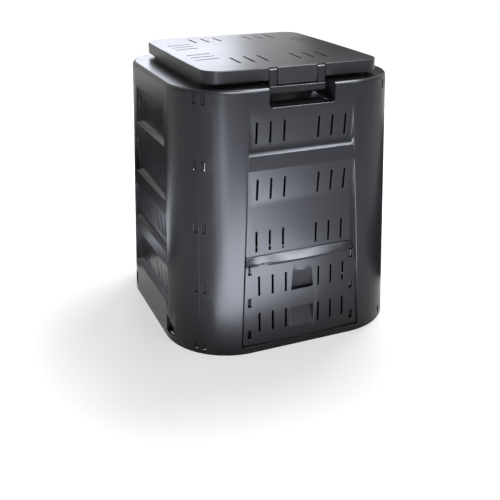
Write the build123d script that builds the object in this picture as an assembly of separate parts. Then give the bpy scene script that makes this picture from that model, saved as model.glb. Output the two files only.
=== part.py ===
from build123d import *
import os
from math import atan, atan2, cos, degrees, pi, radians, sin, sqrt, tan

# A garden compost bin: four moulded louvre walls snapped together at the corners, a hinged lid
# with a wind latch, and a door at the bottom of the front that lifts in its rails.
# Millimetres. The origin is on the ground under the middle of the bin, the front faces -Y, +Z is up.

# Overall body, a tapered rounded square
BASE_WIDTH = 719.0
LEAN_IN = 25.0
DECK_HEIGHT = 773.0
BASE_CORNER_R = 199.5
WALL = 3.0
RIM_R = 10.0
RIM_BANDS = 3
SEAM_GAP = 0.3
FOOT_FLANGE = 14.0
INNER_FACETS = 6

# Louvre recesses, the same on all walls; the margins run from a recess's end to the body's side
LOUVRE_DROP = 62.6
LOUVRE_PITCH = 160.0
LOUVRE_ROWS = 4
LOUVRE_HEIGHT = 120.0
LOUVRE_DEPTH = 15.0
LOUVRE_LEDGE_RISE = 10.0
END_DRAFT = 32.0
FRONT_MARGIN_AT_BASE = 164.3
FRONT_MARGIN_AT_DECK = 182.2
SIDE_MARGIN_AT_BASE = 170.4
SIDE_MARGIN_AT_DECK = 199.2

# Air slots
SLOT_WIDTH = 6.5
SLOT_INNER_X = 52.5
SLOT_END_MARGIN = 17.3
SLOT_DROP = 27.7
SLOT_LENGTH = 62.5

# Corner snap hooks and the windows they show in
HOOK_ROWS = 5
HOOK_LOW = 25.0
HOOK_TOP_DROP = 26.0
WINDOW_HEIGHT = 26.0
SHUT_OFF_WINDOW = (6.3, 16.3)
CATCH_WINDOW = (8.3, 19.3)
HOOK_THICK = 2.6
HOOK_HEIGHT = 22.0
HOOK_STAND_OFF = 1.4
HOOK_ROOT = 20.0
HOOK_NOSE = 2.2
FIT = 0.3
RUNNING_FIT = 0.08

# Front recess above the door, the doorway and its rails
FRONT_PLANE_DROP = 332.0
SILL = 20.0
DOORWAY_LOW = 36.0
DOORWAY_RAIL_MARGIN = 9.0
HALF_ROW_GAP = 13.0
HALF_ROW_LENGTH = 62.0
RAIL_MARGIN = 34.2
RAIL_THICK = 3.5
RAIL_STAND_OFF = 5.8
RAIL_LOW = 24.0
RAIL_UNDER_LIP = 2.0

# Door
DOOR_SIDE_GAP = 3.2
DOOR_BOTTOM = 23.5
DOOR_TOP = 291.0
DOOR_LIP_DROP = 16.5
DOOR_LIP_HEIGHT = 8.5
DOOR_TOP_BAND = 2.0
DOOR_CROWN_R = 2180.0
DOOR_PROUD = 1.5
LIP_R = 860.0
LIP_PROUD = 7.0
DOOR_BACK_GAP = 1.0
DOOR_RAIL_GAP = 0.5
DOOR_HOOK_STEM_GAP = 0.7
DOOR_HOOK_STEM = 7.3
DOOR_HOOK_REACH = 4.0
DOOR_HOOK_THICK = 3.5
DOOR_HOOK_HEIGHT = 20.0
DOOR_SLOT_ROWS = ((176.2, 236.4), (62.2, 122.6))
DOOR_WINDOW_ROWS = (57.0, 157.0, 257.0)
DOOR_WINDOW_MARGIN = 27.5
DOOR_WINDOW_LEAN = 0.0215
DOOR_WINDOW_WIDTH = 11.0
DOOR_WINDOW_HEIGHT = 28.0
PUSH_POCKET = (177.0, 236.0, 35.5, 31.0, 13.5)
PULL_POCKET = (60.5, 121.0, 35.0, 37.0, 18.0)
POCKET_DRAFT = 8.0
POCKET_SPAN = 60.0
POCKET_OVERRUN = 30.0

# Latch notch in the front rim
NOTCH_HALF = 99.0
NOTCH_DEPTH = 54.0
NOTCH_WALL_GAP = 13.0
NOTCH_CORNER_R = 10.5

# Ground peg pockets
PEG_MARGIN = 171.5
PEG_WIDTH = 46.0
PEG_LOW = 20.0
PEG_HIGH = 76.0
PEG_DEPTH = 17.0

# Filling opening in the deck, with its raised collar
OPENING_MARGIN = 82.5
OPENING_R = 45.0
COLLAR_HEIGHT = 22.0

# Lid; the margins run from the rim's sides to the lid's
LID_SIDE_MARGIN = 66.5
LID_FRONT_MARGIN = 34.5
LID_BACK_MARGIN = 44.5
LID_CORNER_R = 50.0
LID_SIDE_BOW = 5.0
LID_LIFT = 13.3
LID_SKIRT = 33.9
LID_CROWN = 5.8
LID_EDGE_BANDS = ((1.4, 25.0), (8.0, 60.0))
LID_EDGE_ROUND = 2.2
LID_SLOT_WIDTH = 6.5
LID_SLOT_INNER_X = 50.8
LID_SLOT_INNER_Y = 52.0
LID_SLOT_SIDE_ROOM = 134.0
LID_SLOT_FRONT_ROOM = 169.0
LID_SLOT_FRONT = (83.0, 166.0)
LID_SLOT_BACK = (55.0, 140.0)
LID_SLOT_SIDE = (35.0, 105.0)
LID_SLOT_SIDE_MIDDLE = 4.0
TONGUE_HALF = 58.5

# Latch
ARM_INNER = 62.0
ARM_OUTER = 84.0
ARM_THICK = 5.0
ARM_CUT_OUT = (60.0, 86.5)
ARM_CUT_DEPTH = 4.2
LATCH_BEHIND_FRONT = 7.4
LATCH_UNDER_EDGE = 10.3
BARREL_R = 6.8
STUB_R = 2.5
CHEEK = 3.0
CHEEK_HEIGHT = 18.0
BAR_OVER_NOTCH = 30.0
BAR_HEIGHT = 19.5
BAR_PROUD = 4.0
BAR_THICK = 8.0
BAR_EDGE_R = 2.5
FINGER_X = 32.0
FINGER_WIDTH = 18.0
FINGER_LIFT = 3.0
FINGER_THICK = 5.0
NOSE_DEPTH = 5.6
NOSE_OVER_FINGER = 2.5
NOSE_THICK = 5.0
NOSE_GAP = 0.6

# Lid hinge
HINGE_SIDE_MARGIN = 98.0
HINGE_BEHIND_LID = 7.0
HINGE_OVER_DECK = 10.2
HINGE_PIN_R = 3.0
KNUCKLE_R = 7.0
KNUCKLE_WIDTH = 30.0
LUG_WIDTH = 8.0
HINGE_SIDE_GAP = 0.4
PIN_HEAD_R = 5.0
PIN_HEAD = 2.5
PIN_END = 1.5

# Values worked out from the driving dimensions
BASE_HALF = BASE_WIDTH / 2
TOP_HALF = BASE_HALF - LEAN_IN
LEAN = LEAN_IN / DECK_HEIGHT
LEAN_ANGLE = degrees(atan(LEAN))
CORNER_CENTRE = BASE_HALF - BASE_CORNER_R
REACH = BASE_WIDTH
FRONT_HALF_AT_BASE = BASE_HALF - FRONT_MARGIN_AT_BASE
FRONT_HALF_AT_DECK = TOP_HALF - FRONT_MARGIN_AT_DECK
SIDE_HALF_AT_BASE = BASE_HALF - SIDE_MARGIN_AT_BASE
SIDE_HALF_AT_DECK = TOP_HALF - SIDE_MARGIN_AT_DECK
LOUVRE_TOP = DECK_HEIGHT - LOUVRE_DROP
FRONT_PLANE_TOP = DECK_HEIGHT - FRONT_PLANE_DROP
SLOT_OUTER_X = FRONT_HALF_AT_DECK - SLOT_END_MARGIN
SLOT_X = (SLOT_INNER_X, (SLOT_INNER_X + SLOT_OUTER_X) / 2, SLOT_OUTER_X)
HOOK_PITCH = (DECK_HEIGHT - HOOK_TOP_DROP - HOOK_LOW) / (HOOK_ROWS - 1)
RAIL_INNER = FRONT_HALF_AT_BASE - RAIL_MARGIN
DOORWAY_HALF = RAIL_INNER - DOORWAY_RAIL_MARGIN
DOOR_LIP_EDGE = DOOR_TOP - DOOR_LIP_DROP
DOOR_LIP_UNDER = DOOR_LIP_EDGE - DOOR_LIP_HEIGHT
RAIL_HIGH = DOOR_LIP_UNDER - RAIL_UNDER_LIP
HALF_ROW_LOW = DOOR_TOP + HALF_ROW_GAP
DOOR_WINDOW_X = FRONT_HALF_AT_BASE - DOOR_WINDOW_MARGIN
NOTCH_FLOOR = DECK_HEIGHT - NOTCH_DEPTH
OPENING_HALF = TOP_HALF - OPENING_MARGIN
NOTCH_BACK = OPENING_HALF + NOTCH_WALL_GAP
COLLAR_TOP = DECK_HEIGHT + COLLAR_HEIGHT
PEG_CENTRE = BASE_HALF - PEG_MARGIN
LID_HALF_X = TOP_HALF - LID_SIDE_MARGIN
LID_FRONT = TOP_HALF - LID_FRONT_MARGIN
LID_BACK = TOP_HALF - LID_BACK_MARGIN
LID_MIDDLE_Y = (LID_BACK - LID_FRONT) / 2
LID_SKIRT_BOTTOM = DECK_HEIGHT + LID_LIFT
LID_EDGE_TOP = LID_SKIRT_BOTTOM + LID_SKIRT
LID_SLOT_OUTER_X = LID_HALF_X - LID_SLOT_SIDE_ROOM
LID_SLOT_OUTER_Y = LID_FRONT - LID_SLOT_FRONT_ROOM
TONGUE_BOTTOM = DECK_HEIGHT
LATCH_Y = LATCH_BEHIND_FRONT - LID_FRONT
LATCH_Z = LID_EDGE_TOP - LATCH_UNDER_EDGE
BAR_BOTTOM = NOTCH_FLOOR + BAR_OVER_NOTCH
FINGER_LOW = BAR_BOTTOM + FINGER_LIFT
NOSE_LOW = FINGER_LOW + FINGER_THICK + NOSE_OVER_FINGER
HINGE_X = LID_HALF_X - HINGE_SIDE_MARGIN
HINGE_Y = LID_BACK + HINGE_BEHIND_LID
HINGE_Z = DECK_HEIGHT + HINGE_OVER_DECK


def half_at(z):
    """Half width of the body at a height."""
    return BASE_HALF - LEAN * z


def front_recess_half(z):
    """Half width of a front recess at a height."""
    return FRONT_HALF_AT_BASE + (FRONT_HALF_AT_DECK - FRONT_HALF_AT_BASE) * z / DECK_HEIGHT


def side_recess_half(z):
    """Half width of a side recess at a height."""
    return SIDE_HALF_AT_BASE + (SIDE_HALF_AT_DECK - SIDE_HALF_AT_BASE) * z / DECK_HEIGHT


PLANE_Y = -(half_at(FRONT_PLANE_TOP) - LOUVRE_DEPTH)
RAIL_BACK_Y = PLANE_Y - RAIL_STAND_OFF
RAIL_FRONT_Y = RAIL_BACK_Y - RAIL_THICK
DOOR_BACK_Y = PLANE_Y - DOOR_BACK_GAP


def body_section(z, inset):
    """Rounded square of the body at a height, inset all round."""
    half = half_at(z) - inset
    return Plane.XY.offset(z) * RectangleRounded(2 * half, 2 * half, half - CORNER_CENTRE)


def raised(solid, height, taper):
    """A solid with its top face carried further up at a taper."""
    return solid + extrude(solid.faces().sort_by(Axis.Z)[-1], height, taper=taper)


def outer_block():
    """The body's outside as one tapered solid, with its rim rounded in a few bands."""
    block = extrude(body_section(0, 0), DECK_HEIGHT - RIM_R, taper=LEAN_ANGLE)
    step = pi / 2 / RIM_BANDS
    for band in range(RIM_BANDS):
        rise = RIM_R * (sin((band + 1) * step) - sin(band * step))
        inwards = RIM_R * (cos(band * step) - cos((band + 1) * step))
        block = raised(block, rise, degrees(atan2(inwards, rise)))
    return block


def inner_section(z, inset):
    """Rounded square of the hollow at a height, with its corners cut in flat facets."""
    radius = half_at(z) - inset - CORNER_CENTRE
    points = []
    for quarter in range(4):
        middle = Vector(CORNER_CENTRE, CORNER_CENTRE).rotate(Axis.Z, 90 * quarter)
        for step in range(INNER_FACETS + 1):
            points.append(middle + Vector(radius, 0).rotate(Axis.Z, 90 * (quarter + step / INNER_FACETS)))
    return Plane.XY.offset(z) * make_face(Polyline(*points, close=True))


def inner_block():
    """The hollow as one tapered solid that narrows under the rounded rim."""
    narrowing = RIM_R - 2 * WALL
    block = extrude(inner_section(WALL, WALL), DECK_HEIGHT - 2 * WALL - narrowing, taper=LEAN_ANGLE)
    return raised(block, narrowing, 45)


def wedge():
    """Quarter of the plan that belongs to the front wall, cut at the corner seams."""
    back_off = SEAM_GAP / sqrt(2)
    far = -REACH - back_off
    outline = Polyline((0, -back_off), (-REACH, far), (REACH, far), close=True)
    return extrude(make_face(outline), DECK_HEIGHT + REACH)


def side_profile(points, grow=0.0):
    """Face in the YZ plane through (y, z) points, grown by a wall where asked."""
    face = make_face(Plane.YZ * Polyline(*points, close=True))
    if grow:
        face = offset(face, amount=grow, kind=Kind.INTERSECTION)
    return face


def front_prism(low, high, low_half, high_half, draft):
    """Prism running inwards from in front of the wall, tapered in the front view and drafted."""
    start = BASE_HALF + LIP_PROUD
    slope = tan(radians(draft))
    low_half += (start - half_at(low)) * slope
    high_half += (start - half_at(high)) * slope
    outline = Polyline((-low_half, low), (low_half, low), (high_half, high), (-high_half, high), close=True)
    face = make_face(Plane((0, -start, 0), x_dir=(1, 0, 0), z_dir=(0, -1, 0)) * outline)
    return extrude(face, amount=-60, taper=draft)


def draft_prism(half_of, low, high, grow=0.0):
    """Front prism that gives a recess its drafted ends, with room above and below it."""
    low -= 40
    high += 40
    return front_prism(low, high, half_of(low) + grow, half_of(high) + grow, END_DRAFT)


def recess(points, half_of, grow=0.0):
    """Recess tool: a side profile run along X, with drafted ends."""
    heights = [z for _, z in points]
    bar = extrude(side_profile(points, grow), REACH / 2, both=True)
    return bar & draft_prism(half_of, min(heights), max(heights), grow)


def louvre_points(top):
    """Side profile of one louvre: a panel that slopes in as it falls, then a ledge out again."""
    low = top - LOUVRE_HEIGHT
    inner = low + LOUVRE_LEDGE_RISE
    panel_slope = (top - inner) / LOUVRE_DEPTH
    ledge_slope = LOUVRE_LEDGE_RISE / LOUVRE_DEPTH
    return [(-half_at(top) - 1, top + panel_slope), (-half_at(inner) + LOUVRE_DEPTH, inner),
            (-half_at(low) - 1, low - ledge_slope)]


def front_recess_points():
    """Side profile of the front recess: a louvre panel, then a plane down to the sill."""
    top = LOUVRE_TOP - LOUVRE_PITCH
    panel_slope = (top - FRONT_PLANE_TOP) / LOUVRE_DEPTH
    return [(-half_at(top) - 1, top + panel_slope), (PLANE_Y, FRONT_PLANE_TOP), (PLANE_Y, SILL),
            (-BASE_HALF - 1, SILL)]


def box_between(low, high):
    """Box from its lowest to its highest corner."""
    size = [b - a for a, b in zip(low, high)]
    middle = [(a + b) / 2 for a, b in zip(low, high)]
    return Pos(*middle) * Box(*size)


def slots(low, high):
    """Two groups of three upright air slots, as cutting boxes for the front wall."""
    boxes = []
    for x in SLOT_X:
        for side in (-1, 1):
            left = side * x - SLOT_WIDTH / 2
            boxes.append(box_between((left, -BASE_HALF - 5, low), (left + SLOT_WIDTH, -BASE_HALF + 60, high)))
    return boxes


def louvre_slots(top):
    """The air slots of one louvre."""
    return slots(top - SLOT_DROP - SLOT_LENGTH, top - SLOT_DROP)


def seam_frame(z, side):
    """Frame on the outer surface at a corner seam: X along the surface, Y inwards, Z up the seam."""
    def seam_point(height):
        reach = CORNER_CENTRE + (half_at(height) - CORNER_CENTRE) / sqrt(2)
        return Vector(side * reach, -reach, height)
    up = seam_point(DECK_HEIGHT) - seam_point(0)
    return Plane(origin=seam_point(z), x_dir=(side, 1, 0) if side > 0 else (1, -1, 0), z_dir=up)


def hook_heights():
    """Heights of the snap hooks along a seam."""
    return [HOOK_LOW + HOOK_PITCH * row for row in range(HOOK_ROWS)]


def corner_windows():
    """Windows in one wall: over its own hooks at the right, for its neighbour's hooks at the left."""
    tools = []
    half = WINDOW_HEIGHT / 2
    for z in hook_heights():
        near, far = SHUT_OFF_WINDOW
        tools.append(seam_frame(z, 1) * box_between((-far, -8, -half), (-near, 9, half)))
        near, far = CATCH_WINDOW
        tools.append(seam_frame(z, -1) * box_between((near, -8, -half), (far, 9, half)))
    return tools


def corner_hooks():
    """Snap hooks at the right end of a wall, reaching behind the neighbour into its windows."""
    hooks = []
    half = HOOK_HEIGHT / 2
    outer = WALL + HOOK_STAND_OFF
    near = CATCH_WINDOW[0] + 2 * FIT
    far = CATCH_WINDOW[1] - WALL
    for z in hook_heights():
        arm = box_between((-HOOK_ROOT, outer, -half), (far, outer + HOOK_THICK, half))
        nose = box_between((near, HOOK_NOSE, -half), (far, outer + 1, half))
        hooks.append(seam_frame(z, 1) * (arm + nose))
    return hooks


def peg_points():
    """Side profile of a ground peg pocket: flush at its top, deepest at its shelf."""
    slope = (PEG_HIGH - PEG_LOW) / PEG_DEPTH
    return [(-half_at(PEG_HIGH) - 6, PEG_HIGH + 6 * slope), (-half_at(PEG_LOW) + PEG_DEPTH, PEG_LOW),
            (-BASE_HALF - 6, PEG_LOW)]


def peg_pocket(side, grow=0.0):
    """Ground peg pocket near one end of a side or back wall."""
    bar = extrude(side_profile(peg_points(), grow), PEG_WIDTH / 2 + grow, both=True)
    return Pos(side * PEG_CENTRE, 0, 0) * bar


def peg_hole(side):
    """Hole through the pocket's shelf and the foot flange that the ground peg passes."""
    y = -half_at(PEG_LOW) + PEG_DEPTH
    x = side * PEG_CENTRE
    return box_between((x - PEG_WIDTH / 4, y - 10, -1), (x + PEG_WIDTH / 4, y - 1, PEG_LOW + 4))


def opening_section(grow, low, high):
    """Prism of the filling opening, grown all round."""
    outline = RectangleRounded(2 * (OPENING_HALF + grow), 2 * (OPENING_HALF + grow), OPENING_R + grow)
    return extrude(Plane.XY.offset(low) * outline, high - low)


def notch(grow=0.0):
    """Latch notch in the front rim, open at its top and front."""
    wide = 2 * (NOTCH_HALF + grow)
    low = NOTCH_FLOOR - grow
    high = COLLAR_TOP + 20
    face = Plane((0, 0, (low + high) / 2), x_dir=(1, 0, 0), z_dir=(0, -1, 0)) * Rectangle(wide, high - low)
    box = extrude(face, BASE_HALF + 20) - Pos(0, -NOTCH_BACK / 2 + grow / 2, (low + high) / 2) * Box(
        wide + 2, NOTCH_BACK - grow, high - low + 2)
    uprights = box.edges().filter_by(Axis.Y).group_by(Axis.Z)[0]
    return fillet(uprights, NOTCH_CORNER_R + grow)


def wall_shell(pads):
    """Front quarter of the body as a moulded shell, thick enough behind each recess."""
    foot_opening = extrude(inner_section(0, WALL + FOOT_FLANGE), WALL)
    collar = opening_section(WALL, DECK_HEIGHT - WALL, COLLAR_TOP) & wedge()
    cavity = (inner_block() + foot_opening) & wedge_over_seams()
    for pad in pads:
        cavity -= pad
    shell = (outer_block() & wedge()) - cavity + collar
    return shell - opening_section(0, DECK_HEIGHT - 2 * RIM_R, COLLAR_TOP + 1)


def wedge_over_seams():
    """The front quarter of the plan with room past both seams."""
    outline = Polyline((0, 2), (-REACH, -REACH + 2), (REACH, -REACH + 2), close=True)
    return Pos(0, 0, -1) * extrude(make_face(outline), DECK_HEIGHT + REACH)


def cut_all(solid, tools):
    """Subtract each tool in turn."""
    for tool in tools:
        solid -= tool
    return solid


def join_all(solid, pieces):
    """Add each piece in turn."""
    for piece in pieces:
        solid += piece
    return solid


def make_side_wall():
    """Moulded wall with four louvres and two peg pockets, in the front wall's place."""
    tops = [LOUVRE_TOP - LOUVRE_PITCH * row for row in range(LOUVRE_ROWS)]
    pads = [recess(louvre_points(top), side_recess_half, WALL) for top in tops]
    pads += [peg_pocket(side, WALL) for side in (-1, 1)]
    wall = wall_shell(pads)
    wall = cut_all(wall, [recess(louvre_points(top), side_recess_half) for top in tops])
    for top in tops:
        wall = cut_all(wall, louvre_slots(top))
    for side in (-1, 1):
        wall = wall - peg_pocket(side) - peg_hole(side)
    wall = cut_all(wall, corner_windows())
    return join_all(wall, corner_hooks())


def door_rail(side):
    """Upright rail beside the doorway, standing out from the recess's drafted end."""
    outer = side * (FRONT_HALF_AT_BASE + WALL)
    inner = side * RAIL_INNER
    left, right = sorted((inner, outer))
    bar = box_between((left, RAIL_FRONT_Y, RAIL_LOW), (right, RAIL_BACK_Y, RAIL_HIGH))
    return bar & recess(front_recess_points(), front_recess_half, WALL / 2)


def make_front_wall():
    """Moulded wall with a louvre, the door recess, the doorway, its rails and the latch notch."""
    pads = [recess(louvre_points(LOUVRE_TOP), front_recess_half, WALL)]
    pads.append(recess(front_recess_points(), front_recess_half, WALL))
    pads.append(notch(WALL))
    wall = wall_shell(pads)
    wall -= recess(louvre_points(LOUVRE_TOP), front_recess_half)
    wall -= recess(front_recess_points(), front_recess_half)
    wall -= notch()
    wall -= box_between((-DOORWAY_HALF, PLANE_Y - WALL, DOORWAY_LOW),
                        (DOORWAY_HALF, PLANE_Y + 2 * WALL, DOOR_LIP_EDGE))
    for top in (LOUVRE_TOP, LOUVRE_TOP - LOUVRE_PITCH):
        wall = cut_all(wall, louvre_slots(top))
    wall = cut_all(wall, slots(HALF_ROW_LOW, HALF_ROW_LOW + HALF_ROW_LENGTH))
    wall = cut_all(wall, corner_windows())
    wall = join_all(wall, corner_hooks())
    return join_all(wall, [door_rail(side) for side in (-1, 1)])


def catch_nose(side):
    """Nose on the notch's back wall that the latch finger reaches under."""
    left = side * FINGER_X - FINGER_WIDTH / 2 - 3
    right = side * FINGER_X + FINGER_WIDTH / 2 + 3
    return box_between((left, -NOTCH_BACK - NOSE_DEPTH, NOSE_LOW),
                       (right, -NOTCH_BACK + 1, NOSE_LOW + NOSE_THICK))


def hinge_lug(left):
    """Lug on the back wall's deck with a bore for the hinge pin, LUG_WIDTH wide from its left side."""
    low = DECK_HEIGHT - 1
    high = HINGE_Z + KNUCKLE_R
    plate = Pos(HINGE_Y, (low + high) / 2) * Rectangle(2 * KNUCKLE_R, high - low)
    plate = chamfer(plate.vertices().group_by(Axis.Y)[-1], KNUCKLE_R / 2)
    bore = Pos(HINGE_Y, HINGE_Z) * Circle(HINGE_PIN_R + RUNNING_FIT)
    return Pos(left, 0, 0) * extrude(Plane.YZ * (plate - bore), LUG_WIDTH)


def hinge_lug_positions(side):
    """Left sides of the two lugs of one hinge."""
    reach = KNUCKLE_WIDTH / 2 + HINGE_SIDE_GAP
    return [side * HINGE_X - reach - LUG_WIDTH, side * HINGE_X + reach]


def make_back_wall(side_wall):
    """Side moulding turned to the back, with the lid hinge's lugs on its deck."""
    lugs = [hinge_lug(left) for side in (-1, 1) for left in hinge_lug_positions(side)]
    return join_all(Rot(0, 0, 180) * side_wall, lugs)


def hinge_pin(side):
    """Hinge pin with a head at its outer end."""
    half = KNUCKLE_WIDTH / 2 + HINGE_SIDE_GAP + LUG_WIDTH
    shank = extrude(Plane.XY.offset(-half - PIN_END) * Circle(HINGE_PIN_R), 2 * half + FIT + PIN_END)
    head = extrude(Plane.XY.offset(half + FIT) * Circle(PIN_HEAD_R), PIN_HEAD)
    return Pos(side * HINGE_X, HINGE_Y, HINGE_Z) * Rot(0, side * 90, 0) * (shank + head)


def face_y(z):
    """Y of the door's face in its middle, at a height."""
    return -half_at(z) - DOOR_PROUD


def door_half(y, z, inset):
    """Half width of the door at a depth and height, beside the recess's drafted ends."""
    return front_recess_half(z) - DOOR_SIDE_GAP - 1.2 * inset - tan(radians(END_DRAFT)) * (y + half_at(z))


def door_section(z, front_y, radius, inset):
    """Plan of the door at a height: an arched front and a straight back between drafted ends."""
    back_y = DOOR_BACK_Y + inset
    back_reach = door_half(back_y, z, inset)
    edge_y = front_y
    for _ in range(6):
        reach = door_half(edge_y, z, inset)
        edge_y = front_y + radius - sqrt(radius ** 2 - reach ** 2)
    front = ThreePointArc((-reach, edge_y, z), (0, front_y, z), (reach, edge_y, z))
    rest = Polyline((reach, edge_y, z), (back_reach, back_y, z),
                    (-back_reach, back_y, z), (-reach, edge_y, z))
    return make_face([*front.edges(), *rest.edges()])


def door_block(inset):
    """Solid of the door with its overhanging lip, inset from its face, bottom, sides and top."""
    low = DOOR_BOTTOM + inset
    under = DOOR_LIP_UNDER - inset / 2
    edge = DOOR_LIP_EDGE - inset / 2
    top_y = DOOR_BACK_Y - DOOR_TOP_BAND + inset / 2
    sections = [door_section(low, face_y(low) + inset, DOOR_CROWN_R, inset),
                door_section(under, face_y(under) + inset, DOOR_CROWN_R, inset),
                door_section(edge, -half_at(edge) - LIP_PROUD + 1.8 * inset, LIP_R, inset),
                door_section(DOOR_TOP - inset, top_y, 100 * DOOR_CROWN_R, inset)]
    return loft(sections, ruled=True)


def finger_pocket(shape, deep_at_low, grow=0.0):
    """Finger pocket in the door: flush at one end, with a ledge at the other."""
    low, high, low_half, high_half, depth = shape
    deep, flush = (low, high) if deep_at_low else (high, low)
    deep_y = face_y(deep) + depth
    slope = (flush - deep) / (deep_y - face_y(flush))
    points = [(face_y(flush) - 10, flush + 10 * slope), (deep_y, deep), (face_y(deep) - 10, deep)]
    bar = extrude(side_profile(points, grow), 2 * POCKET_SPAN, both=True)
    spread = (low_half - high_half) / (high - low) * POCKET_OVERRUN
    return bar & front_prism(low - POCKET_OVERRUN, high + POCKET_OVERRUN,
                             low_half + spread + grow, high_half - spread + grow, POCKET_DRAFT)


def door_hook(side, z):
    """Hook on the door's back, with its foot behind the rail."""
    half = DOOR_HOOK_HEIGHT / 2
    far = RAIL_INNER - DOOR_HOOK_STEM_GAP
    near = far - DOOR_HOOK_STEM
    foot_front = RAIL_BACK_Y + FIT
    foot_back = foot_front + DOOR_HOOK_THICK
    stem = box_between((near, -BASE_HALF, z - half), (far, foot_back, z + half))
    foot = box_between((near, foot_front, z - half), (RAIL_INNER + DOOR_HOOK_REACH, foot_back, z + half))
    hook = (stem & door_block(WALL / 2)) + foot
    return hook if side > 0 else mirror(hook, about=Plane.YZ)


def make_door():
    """Door: a crowned shell with a lip, finger pockets, air slots, windows and rail hooks."""
    cavity = door_block(WALL)
    cavity -= finger_pocket(PUSH_POCKET, True, WALL)
    cavity -= finger_pocket(PULL_POCKET, False, WALL)
    door = door_block(0) - cavity
    door -= finger_pocket(PUSH_POCKET, True)
    door -= finger_pocket(PULL_POCKET, False)
    back = RAIL_FRONT_Y - DOOR_RAIL_GAP
    door -= box_between((-FRONT_HALF_AT_BASE, back, 0),
                        (FRONT_HALF_AT_BASE, back + REACH, RAIL_HIGH + WALL / 2))
    for low, high in DOOR_SLOT_ROWS:
        door = cut_all(door, slots(low, high))
    half_width = DOOR_WINDOW_WIDTH / 2
    half_height = DOOR_WINDOW_HEIGHT / 2
    for z in DOOR_WINDOW_ROWS:
        for side in (-1, 1):
            x = side * (DOOR_WINDOW_X - DOOR_WINDOW_LEAN * z)
            door -= box_between((x - half_width, -BASE_HALF - 5, z - half_height),
                                (x + half_width, back + 5, z + half_height))
    return join_all(door, [door_hook(side, z) for side in (-1, 1) for z in DOOR_WINDOW_ROWS])


def lid_outline(z, inset=0.0):
    """Plan of the lid at a height: a rounded rectangle whose sides bow outwards."""
    half_x = LID_HALF_X - inset
    half_y = (LID_FRONT + LID_BACK) / 2 - inset
    bow = LID_SIDE_BOW
    corners = [(-half_x + bow, -half_y + bow), (half_x - bow, -half_y + bow),
               (half_x - bow, half_y - bow), (-half_x + bow, half_y - bow)]
    middles = [(0, -half_y), (half_x, 0), (0, half_y), (-half_x, 0)]
    sides = [ThreePointArc(corners[i], middles[i], corners[(i + 1) % 4]) for i in range(4)]
    face = make_face(sides)
    face = fillet(face.vertices(), LID_CORNER_R - inset)
    return Pos(0, LID_MIDDLE_Y, z) * face


def lid_prism(low, high, inset=0.0):
    """Upright prism of the lid's plan between two heights."""
    return extrude(lid_outline(low, inset), high - low, dir=(0, 0, 1))


def lid_dome(edge_top):
    """Everything under a pillow surface whose four edges lie level at a height."""
    half_x = LID_HALF_X + WALL
    half_y = (LID_FRONT + LID_BACK) / 2 + WALL
    columns = (-half_x, 0, half_x)
    rows = (-half_y, 0, half_y)
    points = [[(x, y + LID_MIDDLE_Y, edge_top + (4 * LID_CROWN if x == 0 and y == 0 else 0)) for y in rows]
              for x in columns]
    return extrude(Face.make_bezier_surface(points), amount=BASE_WIDTH, dir=(0, 0, -1))


def lid_shell():
    """Shell of the lid: a skirt under a pillow top, with its outer edge rounded in two bands."""
    outer = lid_prism(LID_SKIRT_BOTTOM, LID_EDGE_TOP - LID_EDGE_ROUND)
    for height, taper in LID_EDGE_BANDS:
        outer += extrude(outer.faces().sort_by(Axis.Z)[-1], height, taper=taper)
    inner = lid_prism(LID_SKIRT_BOTTOM - 1, LID_EDGE_TOP + 2 * LID_CROWN, WALL)
    return (outer & lid_dome(LID_EDGE_TOP)) - (inner & lid_dome(LID_EDGE_TOP - WALL))


def lid_slots():
    """Air slots in the lid's top, three to each of eight groups."""
    boxes = []
    half = LID_SLOT_WIDTH / 2
    low = LID_EDGE_TOP - 15
    high = LID_EDGE_TOP + 15
    front = [from_front - LID_FRONT for from_front in LID_SLOT_FRONT]
    back = [LID_BACK - from_back for from_back in reversed(LID_SLOT_BACK)]
    right = [LID_HALF_X - from_side for from_side in reversed(LID_SLOT_SIDE)]
    for step in range(3):
        x = LID_SLOT_INNER_X + (LID_SLOT_OUTER_X - LID_SLOT_INNER_X) * step / 2
        y = LID_SLOT_INNER_Y + (LID_SLOT_OUTER_Y - LID_SLOT_INNER_Y) * step / 2
        for side in (-1, 1):
            for near, far in (front, back):
                boxes.append(box_between((side * x - half, near, low), (side * x + half, far, high)))
            middle = LID_SLOT_SIDE_MIDDLE + side * y
            slot = box_between((right[0], middle - half, low), (right[1], middle + half, high))
            boxes += [slot, mirror(slot, about=Plane.YZ)]
    return boxes


def lid_knuckle(side):
    """Knuckle behind the lid's back skirt, with a bore that turns on the hinge pin."""
    web_low = LID_SKIRT_BOTTOM
    web = box_between((0, LID_BACK - WALL - 1, web_low), (KNUCKLE_WIDTH, HINGE_Y, HINGE_Z + KNUCKLE_R))
    barrel = extrude(Plane.YZ * (Pos(HINGE_Y, HINGE_Z) * Circle(KNUCKLE_R)), KNUCKLE_WIDTH)
    bore = extrude(Plane.YZ * (Pos(HINGE_Y, HINGE_Z) * Circle(HINGE_PIN_R + RUNNING_FIT)), KNUCKLE_WIDTH)
    return Pos(side * HINGE_X - KNUCKLE_WIDTH / 2, 0, 0) * (web + barrel - bore)


def latch_cheek(x):
    """Cheek under the lid that carries one of the latch's stubs, between x and x + CHEEK."""
    low = LID_EDGE_TOP - CHEEK_HEIGHT - WALL
    plate = box_between((x, 1 + WALL / 2 - LID_FRONT, low),
                        (x + CHEEK, LATCH_Y + BARREL_R, LID_EDGE_TOP - WALL / 2))
    bore = extrude(Plane.YZ * (Pos(LATCH_Y, LATCH_Z) * Circle(STUB_R + RUNNING_FIT)), CHEEK)
    return plate - Pos(x, 0, 0) * bore


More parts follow.
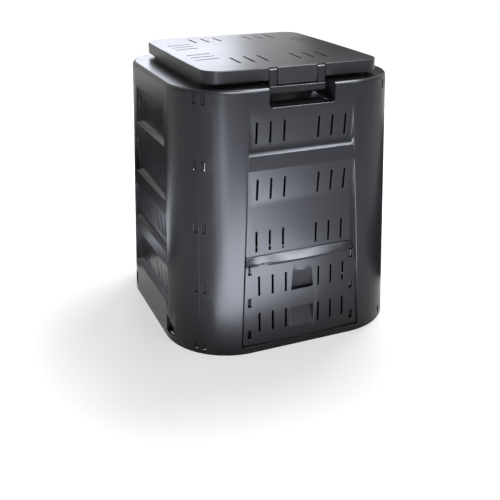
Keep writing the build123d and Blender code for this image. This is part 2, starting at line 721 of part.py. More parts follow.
def cheek_positions():
    """Left sides of the four latch cheeks."""
    inner = ARM_CUT_OUT[0] - CHEEK - FIT
    outer = ARM_CUT_OUT[1] + FIT
    return [-outer - CHEEK, -inner - CHEEK, inner, outer]


def make_lid():
    """Lid: a bowed skirt under a pillow top, with air slots, tongue, knuckles and latch cheeks."""
    lid = lid_shell()
    high = LID_SKIRT_BOTTOM + 2
    band = lid_prism(TONGUE_BOTTOM, high) - lid_prism(TONGUE_BOTTOM, high, WALL)
    lid += band & box_between((-TONGUE_HALF, -LID_FRONT - 1, TONGUE_BOTTOM),
                              (TONGUE_HALF, 10 - LID_FRONT, LID_EDGE_TOP))
    near, far = ARM_CUT_OUT
    cut = box_between((near, -LID_FRONT - 1, TONGUE_BOTTOM),
                      (far, ARM_CUT_DEPTH - LID_FRONT, LID_EDGE_TOP + 10))
    lid = lid - cut - mirror(cut, about=Plane.YZ)
    lid = cut_all(lid, lid_slots())
    lid = join_all(lid, [latch_cheek(x) for x in cheek_positions()])
    return join_all(lid, [lid_knuckle(side) for side in (-1, 1)])


def latch_arm():
    """Right-hand arm of the latch with its barrel and both stubs."""
    width = ARM_OUTER - ARM_INNER
    barrel = extrude(Plane.YZ * (Pos(LATCH_Y, LATCH_Z) * Circle(BARREL_R)), width)
    front = LATCH_Y - BARREL_R
    plate = box_between((0, front, BAR_BOTTOM + 1), (width, front + ARM_THICK, LATCH_Z))
    reach_in = ARM_INNER - ARM_CUT_OUT[0] + CHEEK + 2 * FIT
    reach_out = ARM_CUT_OUT[1] - ARM_OUTER + CHEEK + 2 * FIT
    stub = extrude(Plane.YZ * (Pos(LATCH_Y, LATCH_Z) * Circle(STUB_R)), width + reach_in + reach_out)
    return Pos(ARM_INNER, 0, 0) * (barrel + plate + Pos(-reach_in, 0, 0) * stub)


def make_latch():
    """Latch: a hanging frame with a grip bar and two fingers that reach under the rim's noses."""
    arm = latch_arm()
    bar_front = LATCH_Y - BARREL_R - BAR_PROUD
    bar = box_between((-ARM_OUTER, bar_front, BAR_BOTTOM),
                      (ARM_OUTER, bar_front + BAR_THICK, BAR_BOTTOM + BAR_HEIGHT))
    bar = fillet(bar.edges().filter_by(Axis.X), BAR_EDGE_R)
    tip = -NOTCH_BACK - NOSE_DEPTH - NOSE_GAP
    fingers = []
    for side in (-1, 1):
        middle = side * FINGER_X
        fingers.append(box_between((middle - FINGER_WIDTH / 2, bar_front + BAR_THICK / 2, FINGER_LOW),
                                   (middle + FINGER_WIDTH / 2, tip, FINGER_LOW + FINGER_THICK)))
    return join_all(bar, [arm, mirror(arm, about=Plane.YZ), *fingers])


def write_part(shape, name):
    """Write one part as a STEP file named after its node."""
    shape.label = name
    export_step(shape, f"parts/{name}.step")


os.makedirs("parts", exist_ok=True)
side_wall = make_side_wall()
write_part(make_front_wall() + catch_nose(-1) + catch_nose(1), "front_wall")
write_part(Rot(0, 0, -90) * side_wall, "left_wall")
write_part(Rot(0, 0, 90) * side_wall, "right_wall")
write_part(make_back_wall(side_wall), "back_wall")
write_part(make_door(), "compost_door")
write_part(make_lid(), "lid")
write_part(make_latch(), "lid_latch")
write_part(hinge_pin(-1), "hinge_pin_left")
write_part(hinge_pin(1), "hinge_pin_right")
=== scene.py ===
"""Garden compost bin: finishes, rounded edges, studio and camera for the moulded pieces."""

import logging
import math
from collections.abc import Iterable
from dataclasses import dataclass
from enum import Enum

import bpy
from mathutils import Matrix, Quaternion, Vector


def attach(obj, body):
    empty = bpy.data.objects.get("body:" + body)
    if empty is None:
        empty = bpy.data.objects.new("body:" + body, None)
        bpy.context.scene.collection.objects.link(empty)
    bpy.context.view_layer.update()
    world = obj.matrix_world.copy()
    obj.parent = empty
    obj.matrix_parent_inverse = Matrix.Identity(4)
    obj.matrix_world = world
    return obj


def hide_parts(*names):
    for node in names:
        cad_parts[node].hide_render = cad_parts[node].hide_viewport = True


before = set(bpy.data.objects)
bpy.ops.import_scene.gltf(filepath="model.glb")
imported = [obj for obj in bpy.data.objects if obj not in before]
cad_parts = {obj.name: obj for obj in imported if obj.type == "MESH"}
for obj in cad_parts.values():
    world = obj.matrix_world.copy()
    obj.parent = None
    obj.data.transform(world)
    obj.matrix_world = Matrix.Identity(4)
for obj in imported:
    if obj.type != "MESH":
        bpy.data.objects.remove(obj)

LOG = logging.getLogger("compost_bin")
PHOTO_SIZE = 500
MILLIMETRE = 0.001

Colour = tuple[float, float, float]
Point = tuple[float, float, float]

WHITE: Colour = (1.0, 1.0, 1.0)
COOL: Colour = (0.88, 0.93, 1.06)
BLACK: Colour = (0.02, 0.02, 0.02)


class Part(Enum):
    """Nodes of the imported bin."""

    FRONT_WALL = "front_wall"
    LEFT_WALL = "left_wall"
    RIGHT_WALL = "right_wall"
    BACK_WALL = "back_wall"
    DOOR = "compost_door"
    LID = "lid"
    LATCH = "lid_latch"
    LEFT_PIN = "hinge_pin_left"
    RIGHT_PIN = "hinge_pin_right"


class Body(Enum):
    """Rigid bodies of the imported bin."""

    BIN = "bin"
    DOOR = "door"
    LID = "lid"
    LATCH = "latch"


class Slot(Enum):
    """Material slot names; each moulding keeps one, and nothing here fills a slot with it."""

    WALL = "wall_plastic"
    DOOR = "door_plastic"
    LID = "lid_plastic"
    LATCH = "latch_plastic"
    PIN = "pin_plastic"


def clear_selection() -> None:
    """Leave object mode's selection empty."""
    if bpy.context.mode != "OBJECT":
        bpy.ops.object.mode_set(mode="OBJECT")
    bpy.ops.object.select_all(action="DESELECT")


def pick(piece: bpy.types.Object) -> None:
    """Make one object the only selected and the active one.

    Args:
        piece: The object to pick.
    """
    clear_selection()
    piece.select_set(True)
    bpy.context.view_layer.objects.active = piece


class ShaderSheet:
    """A node tree with short calls to add and join its nodes."""

    def __init__(self, tree: bpy.types.NodeTree) -> None:
        """Keep the tree.

        Args:
            tree: The tree that the calls work on.
        """
        self.tree = tree

    def add(self, kind: str, label: str, **inputs: object) -> bpy.types.Node:
        """Add a node and set some of its input values.

        Args:
            kind: The node's Blender type.
            label: Plain words shown on the node.
            **inputs: Input names, with underscores for spaces, and their values.

        Returns:
            The new node.
        """
        node = self.tree.nodes.new(kind)
        node.label = label
        for name, value in inputs.items():
            node.inputs[name.replace("_", " ")].default_value = value
        return node

    def join(self, source: bpy.types.NodeSocket, target: bpy.types.NodeSocket) -> None:
        """Join an output to an input.

        Args:
            source: The output socket.
            target: The input socket.
        """
        self.tree.links.new(source, target)

    def math(self, operation: str, label: str, *inputs: bpy.types.NodeSocket | float) -> bpy.types.NodeSocket:
        """Add a math node.

        Args:
            operation: Blender's name for the operation.
            label: Plain words shown on the node.
            *inputs: A socket or a number for each input in turn.

        Returns:
            The node's output.
        """
        node = self.add("ShaderNodeMath", label)
        node.operation = operation
        for target, source in zip(node.inputs, inputs):
            if isinstance(source, bpy.types.NodeSocket):
                self.join(source, target)
            else:
                target.default_value = source
        return node.outputs["Value"]

    def noise(self, label: str, **inputs: float) -> bpy.types.Node:
        """Add a noise texture on the piece's own coordinates.

        Args:
            label: Plain words shown on the node.
            **inputs: Input names and their values.

        Returns:
            The noise node.
        """
        place = self.add("ShaderNodeTexCoord", "place on the piece")
        texture = self.add("ShaderNodeTexNoise", label, **inputs)
        self.join(place.outputs["Object"], texture.inputs["Vector"])
        return texture

    def seen_rays(self) -> bpy.types.NodeSocket:
        """Join the camera, glossy and transmission rays into one mask.

        Returns:
            The socket that is 1 for those rays.
        """
        rays = self.add("ShaderNodeLightPath", "ray kinds").outputs
        mask = self.math("MAXIMUM", "camera or glossy", rays["Is Camera Ray"], rays["Is Glossy Ray"])
        return self.math("MAXIMUM", "or transmission", mask, rays["Is Transmission Ray"])


class SharedEffect:
    """A shader node group that is built once and placed in each material with its own values."""

    NAME = ""
    INPUTS: dict[str, str] = {}
    OUTPUTS: dict[str, str] = {}

    @classmethod
    def wire(cls, sheet: ShaderSheet, given: bpy.types.Node, result: bpy.types.Node) -> None:
        """Build the nodes between the group's inputs and outputs.

        Args:
            sheet: The group's tree.
            given: Its input node.
            result: Its output node.
        """
        raise NotImplementedError

    @classmethod
    def group(cls) -> bpy.types.NodeTree:
        """Build the group the first time that it is asked for.

        Returns:
            The group.
        """
        if cls.NAME in bpy.data.node_groups:
            return bpy.data.node_groups[cls.NAME]
        tree = bpy.data.node_groups.new(cls.NAME, "ShaderNodeTree")
        for direction, sockets in (("INPUT", cls.INPUTS), ("OUTPUT", cls.OUTPUTS)):
            for name, kind in sockets.items():
                tree.interface.new_socket(name, in_out=direction, socket_type=kind)
        sheet = ShaderSheet(tree)
        cls.wire(sheet, sheet.add("NodeGroupInput", "values"), sheet.add("NodeGroupOutput", "results"))
        return tree

    @classmethod
    def place(cls, sheet: ShaderSheet, values: dict[str, object]) -> bpy.types.Node:
        """Place the group in a material.

        Args:
            sheet: The material's tree.
            values: The material's own value for each input.

        Returns:
            The group's node.
        """
        node = sheet.add("ShaderNodeGroup", cls.NAME)
        node.node_tree = cls.group()
        for name, value in values.items():
            node.inputs[name].default_value = value
        return node


class MouldedGrain(SharedEffect):
    """The fine spark-eroded grain and slight gloss drift of moulded plastic."""

    NAME = "moulded grain"
    INPUTS = {
        "Grain Size": "NodeSocketFloat",
        "Base Roughness": "NodeSocketFloat",
        "Drift": "NodeSocketFloat",
    }
    OUTPUTS = {"Height": "NodeSocketFloat", "Roughness": "NodeSocketFloat"}
    CLOUD_SCALE = 7.0

    @classmethod
    def wire(cls, sheet: ShaderSheet, given: bpy.types.Node, result: bpy.types.Node) -> None:
        """Send fine noise to the height, and coarse noise round the base to the roughness.

        Args:
            sheet: The group's tree.
            given: Its input node.
            result: Its output node.
        """
        grain = sheet.noise("grain", Detail=2.0, Roughness=0.6)
        sheet.join(given.outputs["Grain Size"], grain.inputs["Scale"])
        sheet.join(grain.outputs["Fac"], result.inputs["Height"])
        cloud = sheet.noise("gloss drift", Scale=cls.CLOUD_SCALE, Detail=3.0)
        centred = sheet.math("SUBTRACT", "centre the drift", cloud.outputs["Fac"], 0.5)
        drift, base = given.outputs["Drift"], given.outputs["Base Roughness"]
        roughness = sheet.math("MULTIPLY_ADD", "scale and add to the base", centred, drift, base)
        sheet.join(roughness, result.inputs["Roughness"])


class SettledDust(SharedEffect):
    """A trace of pale dust in soft patches over the plastic."""

    NAME = "settled dust"
    INPUTS = {
        "Colour": "NodeSocketColor",
        "Dust Colour": "NodeSocketColor",
        "Amount": "NodeSocketFloat",
    }
    OUTPUTS = {"Colour": "NodeSocketColor"}
    PATCH_SCALE = 11.0

    @classmethod
    def wire(cls, sheet: ShaderSheet, given: bpy.types.Node, result: bpy.types.Node) -> None:
        """Blend the dust's colour over the plastic's by a patchy noise.

        Args:
            sheet: The group's tree.
            given: Its input node.
            result: Its output node.
        """
        patch = sheet.noise("patches", Scale=cls.PATCH_SCALE, Detail=6.0, Roughness=0.7)
        amount = sheet.math("MULTIPLY", "amount of dust", patch.outputs["Fac"], given.outputs["Amount"])
        blend = sheet.add("ShaderNodeMix", "dust over plastic")
        blend.data_type = "RGBA"
        sheet.join(amount, blend.inputs["Factor"])
        sheet.join(given.outputs["Colour"], blend.inputs["A"])
        sheet.join(given.outputs["Dust Colour"], blend.inputs["B"])
        sheet.join(blend.outputs["Result"], result.inputs["Colour"])


@dataclass(frozen=True)
class PlasticFinish:
    """One moulded plastic: its colour, gloss, grain and dust."""

    name: str
    colour: Colour
    roughness: float = 0.30
    shine: float = 0.20
    drift: float = 0.05
    grain_size: float = 900.0
    grain_strength: float = 0.05
    grain_depth: float = 0.4 * MILLIMETRE
    dust: float = 0.015
    dust_colour: Colour = (0.30, 0.29, 0.28)

    def material(self) -> bpy.types.Material:
        """Build the material the first time that it is asked for.

        Returns:
            The material, shared by every piece with this finish.
        """
        if self.name in bpy.data.materials:
            return bpy.data.materials[self.name]
        material = bpy.data.materials.new(self.name)
        material.use_nodes = True
        sheet = ShaderSheet(material.node_tree)
        shader = material.node_tree.nodes["Principled BSDF"]
        shader.inputs["Specular IOR Level"].default_value = self.shine
        grain = MouldedGrain.place(
            sheet, {"Grain Size": self.grain_size, "Base Roughness": self.roughness, "Drift": self.drift}
        )
        bump = sheet.add(
            "ShaderNodeBump", "grain relief", Strength=self.grain_strength, Distance=self.grain_depth
        )
        sheet.join(grain.outputs["Height"], bump.inputs["Height"])
        sheet.join(bump.outputs["Normal"], shader.inputs["Normal"])
        sheet.join(grain.outputs["Roughness"], shader.inputs["Roughness"])
        colours = {"Colour": (*self.colour, 1.0), "Dust Colour": (*self.dust_colour, 1.0)}
        dust = SettledDust.place(sheet, {**colours, "Amount": self.dust})
        sheet.join(dust.outputs["Colour"], shader.inputs["Base Color"])
        return material


WALL_PLASTIC = PlasticFinish("anthracite wall plastic", (0.007, 0.007, 0.0085))
DOOR_PLASTIC = PlasticFinish("anthracite door plastic", (0.007, 0.007, 0.0085))
LID_PLASTIC = PlasticFinish("anthracite lid plastic", (0.010, 0.010, 0.012), roughness=0.33)
LATCH_PLASTIC = PlasticFinish("anthracite latch plastic", (0.006, 0.006, 0.007))
PIN_PLASTIC = PlasticFinish("black pin plastic", (0.018, 0.018, 0.020), dust=0.0)


def matte(name: str, colour: Colour) -> bpy.types.Material:
    """Build a matte material the first time that it is asked for.

    Args:
        name: The material's name.
        colour: Its colour.

    Returns:
        The material.
    """
    if name in bpy.data.materials:
        return bpy.data.materials[name]
    material = bpy.data.materials.new(name)
    material.use_nodes = True
    shader = material.node_tree.nodes["Principled BSDF"]
    shader.inputs["Base Color"].default_value = (*colour, 1.0)
    shader.inputs["Roughness"].default_value = 1.0
    shader.inputs["Specular IOR Level"].default_value = 0.0
    return material


@dataclass(frozen=True)
class EdgeRule:
    """Outward edges of a moulding that get one rounding, chosen by their fold, length and place."""

    radius: float
    lowest_fold: float
    highest_fold: float = 170.0
    shortest: float = 0.0
    inside: tuple[Point, Point] | None = None

    def takes(self, fold: float, length: float, ends: list[Vector]) -> bool:
        """Tell whether an edge falls under this rule.

        Args:
            fold: Angle between the edge's two faces, in degrees.
            length: Length of the edge in metres.
            ends: Both ends of the edge.

        Returns:
            True if it does.
        """
        if not self.lowest_fold <= fold <= self.highest_fold or length < self.shortest:
            return False
        if self.inside is None:
            return True
        low, high = self.inside
        return all(low[axis] <= end[axis] <= high[axis] for end in ends for axis in range(3))


RECESS_EDGES = EdgeRule(1.6 * MILLIMETRE, 45.0, 66.0, shortest=0.03)
RIM_NOTCH_EDGES = EdgeRule(
    2.2 * MILLIMETRE, 60.0, 120.0, inside=((-0.106, -0.37, 0.712), (0.106, -0.268, 0.766))
)
CUT_EDGES = EdgeRule(0.5 * MILLIMETRE, 66.0)
DOOR_LIP_EDGES = EdgeRule(
    0.7 * MILLIMETRE, 60.0, 130.0, shortest=0.03, inside=((-0.19, -0.37, 0.270), (0.19, -0.33, 0.278))
)
DOOR_OUTLINE_EDGES = EdgeRule(1.2 * MILLIMETRE, 45.0, 66.0, shortest=0.03)
POCKET_EDGES = EdgeRule(
    0.8 * MILLIMETRE, 60.0, 100.0, shortest=0.03, inside=((-0.046, -0.37, 0.055), (0.046, -0.345, 0.24))
)
LID_EDGES = EdgeRule(0.5 * MILLIMETRE, 66.0, shortest=0.006)
THIN_EDGES = EdgeRule(0.8 * MILLIMETRE, 50.0)


@dataclass(frozen=True)
class Shading:
    """How a moulding's normals run over its folds, in degrees.

    Folds above smooth_below stay crisp, and so do the shallow ones between the two of crisp_folds.
    """

    smooth_below: float = 35.0
    crisp_folds: tuple[float, float] = (0.0, 0.0)


WALL_SHADING = Shading(crisp_folds=(6.5, 20.0))
DOOR_SHADING = Shading(crisp_folds=(6.5, 45.0))
LID_SHADING = Shading(smooth_below=20.0)


@dataclass
class Moulding:
    """A moulded piece of the frame, shown by a merged copy with rounded edges."""

    part: Part
    body: Body
    finish: PlasticFinish
    slot: Slot
    rules: tuple[EdgeRule, ...] = (THIN_EDGES,)
    shading: Shading = Shading()
    steps: int = 2
    merge_distance: float = 0.02 * MILLIMETRE
    flat_fold: float = 0.4

    def build(self) -> str:
        """Make the copy, round its edges and give it its finish.

        Returns:
            A line that names what was done.
        """
        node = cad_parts[self.part.value]
        node.data.materials.clear()
        node.data.materials.append(self.finish.material())
        piece = self.merged_copy(node)
        self.weigh_edges(piece.data)
        self.round_edges(piece)
        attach(piece, self.body.value)
        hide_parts(self.part.value)
        return f"{piece.name}: {self.finish.name}, {len(piece.data.polygons)} faces"

    def merged_copy(self, node: bpy.types.Object) -> bpy.types.Object:
        """Copy a node's mesh in the frame's own axes, with its facets joined.

        Args:
            node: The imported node.

        Returns:
            The copy.
        """
        mesh = node.data.copy()
        mesh.transform(node.matrix_world)
        piece = bpy.data.objects.new(f"{self.part.value}_soft", mesh)
        bpy.context.scene.collection.objects.link(piece)
        pick(piece)
        bpy.ops.object.mode_set(mode="EDIT")
        bpy.ops.mesh.select_all(action="SELECT")
        bpy.ops.mesh.remove_doubles(threshold=self.merge_distance)
        bpy.ops.mesh.normals_make_consistent(inside=False)
        bpy.ops.mesh.dissolve_limited(angle_limit=math.radians(self.flat_fold))
        bpy.ops.object.mode_set(mode="OBJECT")
        return piece

    def weigh_edges(self, mesh: bpy.types.Mesh) -> None:
        """Mark crisp folds and write each outward edge's rounding as a share of the largest one.

        Args:
            mesh: The merged copy's mesh.
        """
        beside: dict[tuple[int, int], list[bpy.types.MeshPolygon]] = {}
        for face in mesh.polygons:
            for key in face.edge_keys:
                beside.setdefault(key, []).append(face)
        weights = mesh.attributes.new("bevel_weight_edge", "FLOAT", "EDGE")
        least_crisp, most_crisp = self.shading.crisp_folds
        for edge in mesh.edges:
            faces = beside.get(edge.key, [])
            if len(faces) != 2:
                continue
            fold = math.degrees(faces[0].normal.angle(faces[1].normal, 0.0))
            edge.use_edge_sharp = least_crisp < fold < most_crisp
            if not self.folds_outward(mesh, edge, faces):
                continue
            ends = [mesh.vertices[index].co for index in edge.vertices]
            length = (ends[1] - ends[0]).length
            rule = next((rule for rule in self.rules if rule.takes(fold, length, ends)), None)
            if rule is not None:
                weights.data[edge.index].value = rule.radius / self.widest()

    def folds_outward(
        self, mesh: bpy.types.Mesh, edge: bpy.types.MeshEdge, faces: list[bpy.types.MeshPolygon]
    ) -> bool:
        """Tell whether two faces meet in an outward edge.

        The edge's direction round the first face is used, because the centre of a large notched face
        can lie on the wrong side of it.

        Args:
            mesh: The mesh they belong to.
            edge: The edge they share.
            faces: Both faces.

        Returns:
            True for an outward edge and False for an inner corner.
        """
        start, end = edge.vertices
        corners = list(faces[0].vertices)
        if corners[(corners.index(start) + 1) % len(corners)] != end:
            start, end = end, start
        along = mesh.vertices[end].co - mesh.vertices[start].co
        return faces[0].normal.cross(along).dot(faces[1].normal) < 0.0

    def widest(self) -> float:
        """Return the largest rounding of this moulding."""
        return max(rule.radius for rule in self.rules)

    def round_edges(self, piece: bpy.types.Object) -> None:
        """Round the weighted edges and smooth the shading over them.

        Sliding along neighbouring edges stays off, because it drags the corners of long faces.

        Args:
            piece: The merged copy.
        """
        pick(piece)
        bpy.ops.object.modifier_add(type="BEVEL")
        bevel = piece.modifiers[-1]
        bevel.limit_method = "WEIGHT"
        bevel.width = self.widest()
        bevel.segments = self.steps
        bevel.use_clamp_overlap = False
        bevel.loop_slide = False
        bpy.ops.object.modifier_apply(modifier=bevel.name)
        bpy.ops.object.shade_smooth_by_angle(angle=math.radians(self.shading.smooth_below))
        bpy.ops.object.modifier_add(type="WEIGHTED_NORMAL")
        weighted = piece.modifiers[-1]
        weighted.keep_sharp = True
        bpy.ops.object.modifier_apply(modifier=weighted.name)


@dataclass
class Walls:
    """The four louvred walls and the lid hinge's pins, which stand still."""

    finish: PlasticFinish = WALL_PLASTIC
    pin_finish: PlasticFinish = PIN_PLASTIC
    rules: tuple[EdgeRule, ...] = (RIM_NOTCH_EDGES, RECESS_EDGES, CUT_EDGES)
    shading: Shading = WALL_SHADING
    sides: tuple[Part, ...] = (Part.FRONT_WALL, Part.LEFT_WALL, Part.RIGHT_WALL, Part.BACK_WALL)
    pins: tuple[Part, ...] = (Part.LEFT_PIN, Part.RIGHT_PIN)

    def build(self) -> list[str]:
        """Dress the walls and the pins.

        Returns:
            One line for each piece.
        """
        walls = [
            Moulding(side, Body.BIN, self.finish, Slot.WALL, self.rules, self.shading) for side in self.sides
        ]
        pins = [Moulding(pin, Body.BIN, self.pin_finish, Slot.PIN) for pin in self.pins]
        return [moulding.build() for moulding in walls + pins]


@dataclass
class Door:
    """The door that lifts in its rails."""

    finish: PlasticFinish = DOOR_PLASTIC
    rules: tuple[EdgeRule, ...] = (DOOR_LIP_EDGES, POCKET_EDGES, DOOR_OUTLINE_EDGES, CUT_EDGES)
    shading: Shading = DOOR_SHADING

    def build(self) -> list[str]:
        """Dress the door.

        Returns:
            One line for each piece.
        """
        return [Moulding(Part.DOOR, Body.DOOR, self.finish, Slot.DOOR, self.rules, self.shading).build()]


@dataclass
class LidWithLatch:
    """The hinged lid and the latch that hangs from its front skirt."""

    lid_finish: PlasticFinish = LID_PLASTIC
    lid_rules: tuple[EdgeRule, ...] = (LID_EDGES,)
    lid_shading: Shading = LID_SHADING
    latch_finish: PlasticFinish = LATCH_PLASTIC

    def build(self) -> list[str]:
        """Dress the lid and the latch.

        Returns:
            One line for each piece.
        """
        return [
            Moulding(
                Part.LID, Body.LID, self.lid_finish, Slot.LID, self.lid_rules, self.lid_shading
            ).build(),
            Moulding(Part.LATCH, Body.LATCH, self.latch_finish, Slot.LATCH).build(),
        ]


@dataclass(frozen=True)
class Ground:
    """The pale floor disc, which keeps the bin's shadow and glows more where the lamps fade."""

    colour: Colour = (0.88, 0.88, 0.88)
    radius: float = 30.0
    corners: int = 96
    glow_near: float = 0.40
    glow_far: float = 0.62
    fade_from: float = 0.5
    fade_to: float = 1.15

    def build(self) -> str:
        """Add the disc and its material.

        Returns:
            A line that names it.
        """
        clear_selection()
        bpy.ops.mesh.primitive_circle_add(
            vertices=self.corners, radius=self.radius, fill_type="NGON", location=(0.0, 0.0, 0.0)
        )
        ground = bpy.context.active_object
        ground.name = "ground"
        ground.data.materials.append(self.material())
        return "ground: pale, with the bin's shadow"

    def material(self) -> bpy.types.Material:
        """Build a matte white whose glow, for the rays that see it, grows with the distance from the bin.

        Returns:
            The material.
        """
        material = matte("pale ground", self.colour)
        sheet = ShaderSheet(material.node_tree)
        shader = material.node_tree.nodes["Principled BSDF"]
        shader.inputs["Emission Color"].default_value = (*WHITE, 1.0)
        place = sheet.add("ShaderNodeTexCoord", "place on the ground")
        reach = sheet.add("ShaderNodeVectorMath", "distance from the bin")
        reach.operation = "LENGTH"
        sheet.join(place.outputs["Object"], reach.inputs[0])
        level = sheet.add(
            "ShaderNodeMapRange",
            "more glow where the lamps fade",
            From_Min=self.fade_from,
            From_Max=self.fade_to,
            To_Min=self.glow_near,
            To_Max=self.glow_far,
        )
        level.interpolation_type = "SMOOTHSTEP"
        sheet.join(reach.outputs["Value"], level.inputs["Value"])
        glow = sheet.math("MULTIPLY", "glow for seen rays", sheet.seen_rays(), level.outputs["Result"])
        sheet.join(glow, shader.inputs["Emission Strength"])
        return material


@dataclass(frozen=True)
class InsideShadeSheet:
    """A dark sheet on the ground inside the bin: painted shade, standing in for the shade inside the bin
    where the ground would otherwise glow.
    """

    colour: Colour = (0.010, 0.008, 0.006)
    half: float = 0.34
    corner: float = 0.20
    corner_steps: int = 8
    lift: float = 1.0 * MILLIMETRE

    def build(self) -> str:
        """Add the dark sheet of painted shade inside the bin, a square with rounded corners.

        Returns:
            A line that names it.
        """
        clear_selection()
        bpy.ops.mesh.primitive_plane_add(size=2 * self.half, location=(0.0, 0.0, self.lift))
        soil = bpy.context.active_object
        soil.name = "soil"
        bpy.ops.object.mode_set(mode="EDIT")
        bpy.ops.mesh.select_all(action="SELECT")
        bpy.ops.mesh.bevel(offset=self.corner, segments=self.corner_steps, affect="VERTICES")
        bpy.ops.object.mode_set(mode="OBJECT")
        # painted shade: a near-black matte that stands in for the shade on the ground inside the bin
        soil.data.materials.append(matte("dark soil", self.colour))
        return "soil: dark, inside the bin"


@dataclass(frozen=True)
class Sky:
    """The white sky, plain in view and softer as light."""

    for_bounce: float = 0.45
    for_view: float = 1.0

    def build(self) -> str:
        """Add the sky as the scene's world.

        Returns:
            A line that names it.
        """
        world = bpy.data.worlds.new("white sky")
        world.use_nodes = True
        bpy.context.scene.world = world
        sheet = ShaderSheet(world.node_tree)
        background = world.node_tree.nodes["Background"]
        background.inputs["Color"].default_value = (*WHITE, 1.0)
        level = sheet.add("ShaderNodeMix", "sky level")
        level.data_type = "FLOAT"
        level.inputs["A"].default_value = self.for_bounce
        level.inputs["B"].default_value = self.for_view
        sheet.join(sheet.seen_rays(), level.inputs["Factor"])
        sheet.join(level.outputs["Result"], background.inputs["Strength"])
        return "sky: white"


@dataclass(frozen=True)
class Flag:
    """One black cloth that only reflections see, in metres and degrees.

    It keeps a face's reflections dark, and neither the camera nor a shadow shows it.
    """

    name: str
    place: Point
    width: float
    length: float
    turn: float
    tilt: float = 0.0

    def build(self) -> str:
        """Add the cloth.

        Returns:
            A line that names it.
        """
        clear_selection()
        bpy.ops.mesh.primitive_plane_add(size=1.0, location=self.place)
        cloth = bpy.context.active_object
        cloth.name = self.name
        cloth.scale = (self.width, self.length, 1.0)
        cloth.rotation_euler = (math.radians(self.tilt), 0.0, math.radians(self.turn))
        cloth.visible_camera = False
        cloth.visible_diffuse = False
        cloth.visible_shadow = False
        cloth.data.materials.append(matte("black cloth", BLACK))
        return f"{self.name}: out of the camera's sight"


@dataclass(frozen=True)
class Softbox:
    """One soft area light, in metres, watts and degrees."""

    name: str
    place: Point
    aim: Point
    width: float
    height: float
    power: float
    turn: float = 0.0
    colour: Colour = COOL
    gloss_only: bool = False

    @classmethod
    def on_floor(
        cls, name: str, place: tuple[float, float], width: float, length: float, power: float, turn: float
    ) -> "Softbox":
        """Lay a panel on the floor, shining up, for the upright walls to mirror.

        Args:
            name: The light's name.
            place: Its middle on the floor.
            width: Its width.
            length: Its length.
            power: Its power.
            turn: Its turn round the upright.

        Returns:
            The panel.
        """
        lift = 6.0 * MILLIMETRE
        return cls(name, (*place, lift), (*place, 1.0), width, length, power, turn)

    def build(self) -> str:
        """Add the light.

        Returns:
            A line that names it.
        """
        clear_selection()
        bpy.ops.object.light_add(type="AREA", location=self.place)
        lamp = bpy.context.active_object
        lamp.name = self.name
        lamp.data.shape = "RECTANGLE"
        lamp.data.size = self.width
        lamp.data.size_y = self.height
        lamp.data.energy = self.power
        lamp.data.color = self.colour
        lamp.visible_diffuse = not self.gloss_only
        aim = Vector(self.aim) - Vector(self.place)
        turn = Quaternion((0.0, 0.0, 1.0), math.radians(self.turn))
        lamp.rotation_euler = (turn @ aim.to_track_quat("-Z", "Y")).to_euler()
        return f"{self.name}: {self.power:g} W"


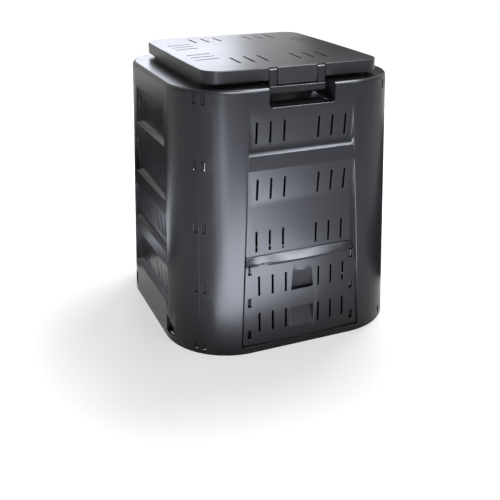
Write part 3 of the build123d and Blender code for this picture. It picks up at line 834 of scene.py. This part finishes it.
@dataclass
class Studio:
    """White ground and sky, a dark sheet of painted shade inside the bin, black flags, and soft light from
    panels on the floor and boxes above.
    """

    ground: Ground = Ground()
    # painted shade: a dark sheet on the ground inside the bin
    soil: InsideShadeSheet = InsideShadeSheet()
    sky: Sky = Sky()
    flags: tuple[Flag, ...] = (
        Flag("left flag", (-1.00, 1.73, 0.004), 1.4, 3.0, -157.0),
        Flag("right flag", (1.50, 0.55, 0.004), 1.6, 2.4, -60.0),
        Flag("lid flag", (2.05, 2.30, 1.30), 1.3, 1.3, -40.0, 90.0),
    )
    lights: tuple[Softbox, ...] = (
        Softbox.on_floor("front floor panel", (-0.22, -1.16), 0.85, 1.03, 69.0, -20.0),
        Softbox.on_floor("far floor panel", (-1.35, -2.55), 0.5, 2.0, 72.0, -27.0),
        Softbox.on_floor("left floor panel", (-1.02, 0.77), 0.3, 1.0, 4.2, -127.0),
        Softbox("edge light", (0.15, -1.9, 2.7), (0.0, -0.3, 0.5), 2.2, 1.1, 300.0, gloss_only=True),
        Softbox("lip light", (1.05, -0.45, 2.95), (0.0, -0.36, 0.28), 0.9, 0.6, 140.0, gloss_only=True),
        Softbox("key softbox", (1.35, 1.05, 3.7), (0.0, 0.0, 0.3), 1.4, 1.4, 68.0, colour=WHITE),
        Softbox("back softbox", (0.72, 3.4, 1.98), (0.0, 0.0, 0.8), 1.1, 1.2, 25.0),
    )

    def build(self) -> list[str]:
        """Build the ground, the dark sheet of painted shade inside the bin, the sky, the flags and the
        lights.

        Returns:
            One line for each of them.
        """
        return [piece.build() for piece in (self.ground, self.soil, self.sky, *self.flags, *self.lights)]


@dataclass
class PhotoCamera:
    """The camera at the photograph's place, found from the bin's own proportions."""

    azimuth: float = math.radians(-23.0)
    elevation: float = math.radians(19.4)
    distance: float = 2.5375
    target_height: float = 0.3722
    focal_pixels: float = 786.0
    centre_pixels: tuple[float, float] = (254.8, 187.6)
    sensor_width: float = 36.0

    def build(self) -> list[str]:
        """Add the camera and make it the scene's own.

        Returns:
            One line for it.
        """
        target = Vector((0.0, 0.0, self.target_height))
        reach = self.distance * math.cos(self.elevation)
        place = target + Vector((
            reach * math.sin(self.azimuth),
            -reach * math.cos(self.azimuth),
            self.distance * math.sin(self.elevation),
        ))
        clear_selection()
        bpy.ops.object.camera_add(location=place)
        camera = bpy.context.active_object
        camera.name = "photo camera"
        camera.rotation_euler = (target - place).to_track_quat("-Z", "Y").to_euler()
        camera.data.sensor_width = self.sensor_width
        camera.data.lens = self.focal_pixels * self.sensor_width / PHOTO_SIZE
        camera.data.shift_x = (PHOTO_SIZE / 2 - self.centre_pixels[0]) / PHOTO_SIZE
        camera.data.shift_y = (self.centre_pixels[1] - PHOTO_SIZE / 2) / PHOTO_SIZE
        bpy.context.scene.camera = camera
        return [f"camera: {camera.data.lens:.1f} mm lens"]


def main() -> None:
    """Build the bin's looks, the studio and the camera."""
    logging.basicConfig(level=logging.INFO, format="%(name)s: %(message)s")
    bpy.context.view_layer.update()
    bpy.context.scene.view_settings.view_transform = "Standard"
    for assembly in (Walls(), Door(), LidWithLatch(), Studio(), PhotoCamera()):
        for line in assembly.build():
            LOG.info(line)


if __name__ == "__main__":
    main()
